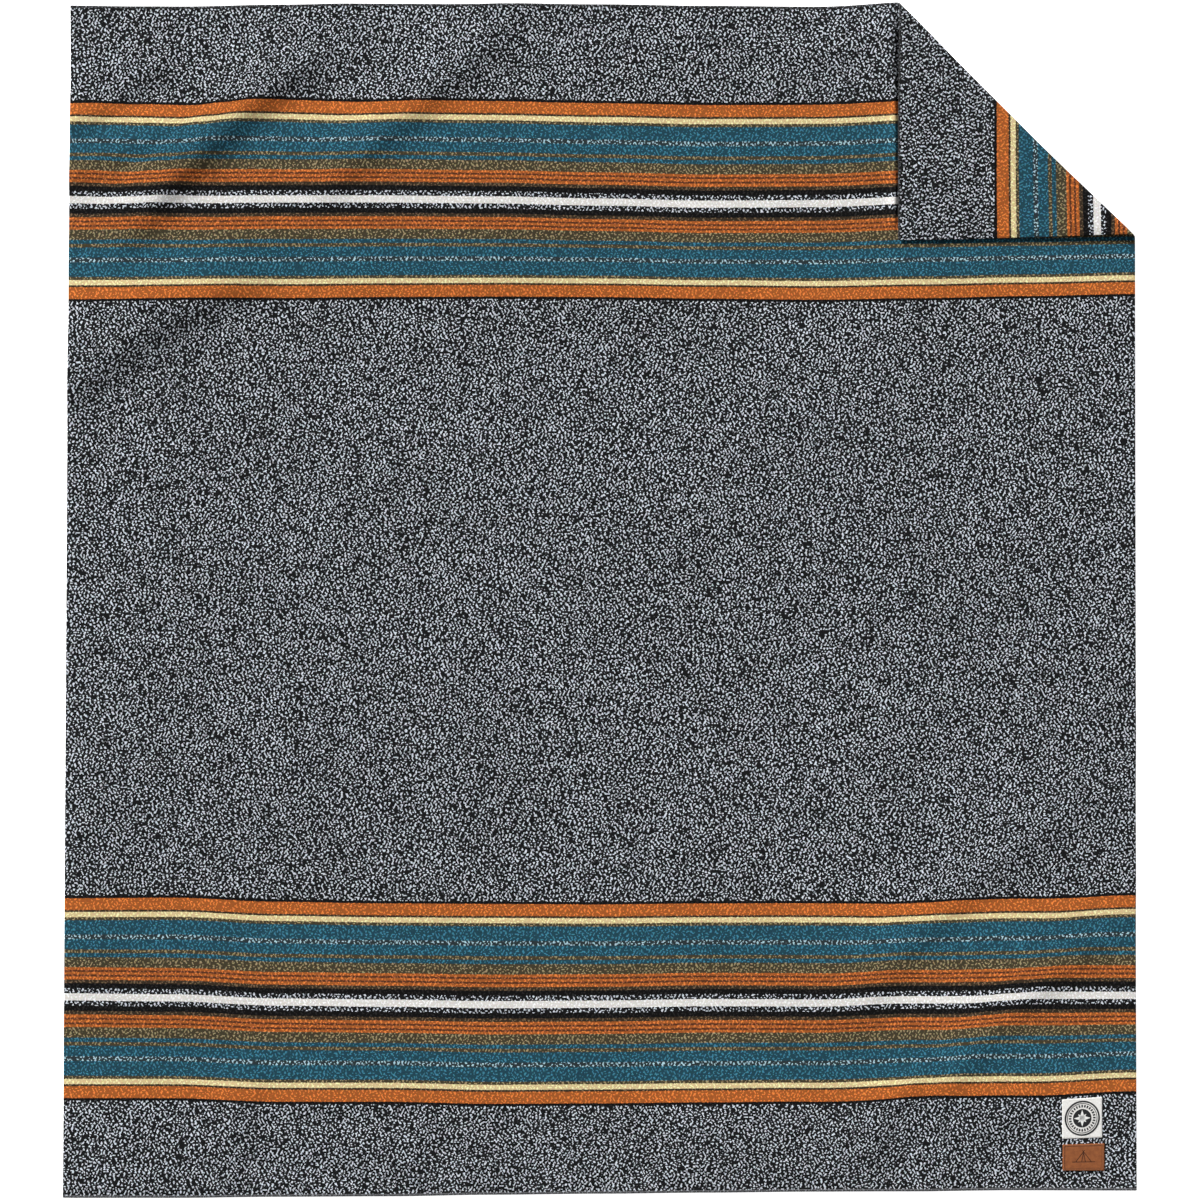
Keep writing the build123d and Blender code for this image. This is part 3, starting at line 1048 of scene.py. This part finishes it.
# The compass badge, in mm: radii of its rings and ticks, length and width of its star's points.
RINGS = ((30.4, 33.4), (27.4, 28.6), (0.0, 17.5))
TICK_COUNT = 28
TICK_RADII = (20.6, 25.4)
TICK_HALF_ANGLE = 0.06
LONG_POINT = (16.0, 5.4)
SHORT_POINT = (11.0, 4.6)
BADGE_HEIGHT = 0.3 * MM
STAR_HEIGHT = 0.55 * MM


def badge_shapes():
    """The badge's rings, disc and ticks."""
    shapes = []
    for inner, outer in RINGS:
        shapes += arc_band(inner, outer)
    for index in range(TICK_COUNT):
        middle = index * 2 * math.pi / TICK_COUNT
        shapes += arc_band(*TICK_RADII, middle - TICK_HALF_ANGLE, middle + TICK_HALF_ANGLE, 2)
    return shapes


def star_shapes():
    """The compass star: four long points with a short one after each."""
    shapes = []
    for index in range(4):
        shapes += compass_point(*LONG_POINT, index * math.pi / 2)
        shapes += compass_point(*SHORT_POINT, (index + 0.5) * math.pi / 2)
    return shapes


def labels():
    """The woven label with a plain compass badge, and the leather patch with a tent."""
    pad("woven_label", "woven_label", 2 * MM, flat_face, label_material())
    pad("leather_patch", "leather_patch", 0.5 * MM, tent_relief, leather_material())
    dark = thread_material("badge_thread", (24, 24, 27), (6, 6, 8), 0.0)
    raised("label_badge", badge_shapes(), BADGE_HEIGHT, dark)
    star_material = thread_material("badge_thread_pale", (246, 246, 243), (216, 216, 213))
    raised("label_badge_star", star_shapes(), STAR_HEIGHT, star_material)
    pale = thread_material("label_thread", (240, 238, 232), (196, 194, 188))
    tan = thread_material("patch_thread", (140, 86, 50), (92, 54, 32))
    stitch = ("woven_label", "label_stitching", 3.0 * MM, 1.2 * MM, 0.28 * MM, pale, "label_thread")
    running_stitch("label_stitches", *stitch)
    stitch = ("leather_patch", "patch_stitching", 3.6 * MM, 1.6 * MM, 0.35 * MM, tan, "patch_thread")
    running_stitch("patch_stitches", *stitch)


# ---- floor, light and camera

FRAME_WIDTH = 2.295  # metres across the picture at the blanket
CAMERA_OVER = (-0.0019, -0.001)
LENS = 200.0
SENSOR = 36.0
CLIP_END = 100  # metres
KEY_STRENGTH = 7.6
KEY_ANGLE = 14  # degrees that the light spans
KEY_TOWARDS = (-1.0, 1.0, 0.52)
FLOOR_HALF = 30  # metres
FLOOR_DROP = 6 * MM  # room for the open bend, which dips below the cloth once the corner is laid flat
FLOOR_GLOW = 0.96  # the floor is a light box, so that hardly any shadow shows on it
SURROUNDING = 0.2  # light from all round; the camera sees it as bright as the floor


def floor():
    """A pale light-box floor just under the blanket."""
    half = FLOOR_HALF
    corners = [(-half, -half, 0), (half, -half, 0), (half, half, 0), (-half, half, 0)]
    made = mesh_object("floor", corners, [(0, 1, 2, 3)])
    made.location.z = -FLOOR_DROP
    material, _, shader = new_material("pale_floor")
    shader.inputs["Base Color"].default_value = (0.93, 0.93, 0.93, 1)
    shader.inputs["Roughness"].default_value = 0.9
    shader.inputs["Emission Color"].default_value = (1, 1, 1, 1)
    shader.inputs["Emission Strength"].default_value = FLOOR_GLOW
    made.data.materials.append(material)


def lights():
    """A low, soft light from beyond the head end's left corner, and a pale surrounding."""
    sun = bpy.data.lights.new("key", "SUN")
    sun.energy = KEY_STRENGTH
    sun.angle = math.radians(KEY_ANGLE)
    key = bpy.data.objects.new("key", sun)
    key.rotation_mode = "QUATERNION"
    key.rotation_quaternion = Vector(KEY_TOWARDS).to_track_quat("Z", "Y")
    bpy.context.scene.collection.objects.link(key)
    world = bpy.data.worlds.new("studio")
    world.use_nodes = True
    tree = world.node_tree
    seen = node(tree, "ShaderNodeLightPath", {}).outputs["Is Camera Ray"]
    strength = maths(tree, "MULTIPLY_ADD", seen, FLOOR_GLOW - SURROUNDING, SURROUNDING)
    tree.nodes["Background"].inputs["Color"].default_value = (1, 1, 1, 1)
    feed(tree, tree.nodes["Background"].inputs["Strength"], strength)
    bpy.context.scene.world = world


def camera():
    """Straight down on the blanket, from far enough for it to look square on."""
    data = bpy.data.cameras.new("camera")
    data.lens = LENS
    data.sensor_width = SENSOR
    made = bpy.data.objects.new("camera", data)
    made.location = (*CAMERA_OVER, FRAME_WIDTH * LENS / SENSOR)
    data.clip_end = CLIP_END
    bpy.context.scene.collection.objects.link(made)
    bpy.context.scene.camera = made
    bpy.context.scene.view_settings.view_transform = "Standard"


cloth(wool_material())
edge_stitching()
labels()
floor()
lights()
camera()
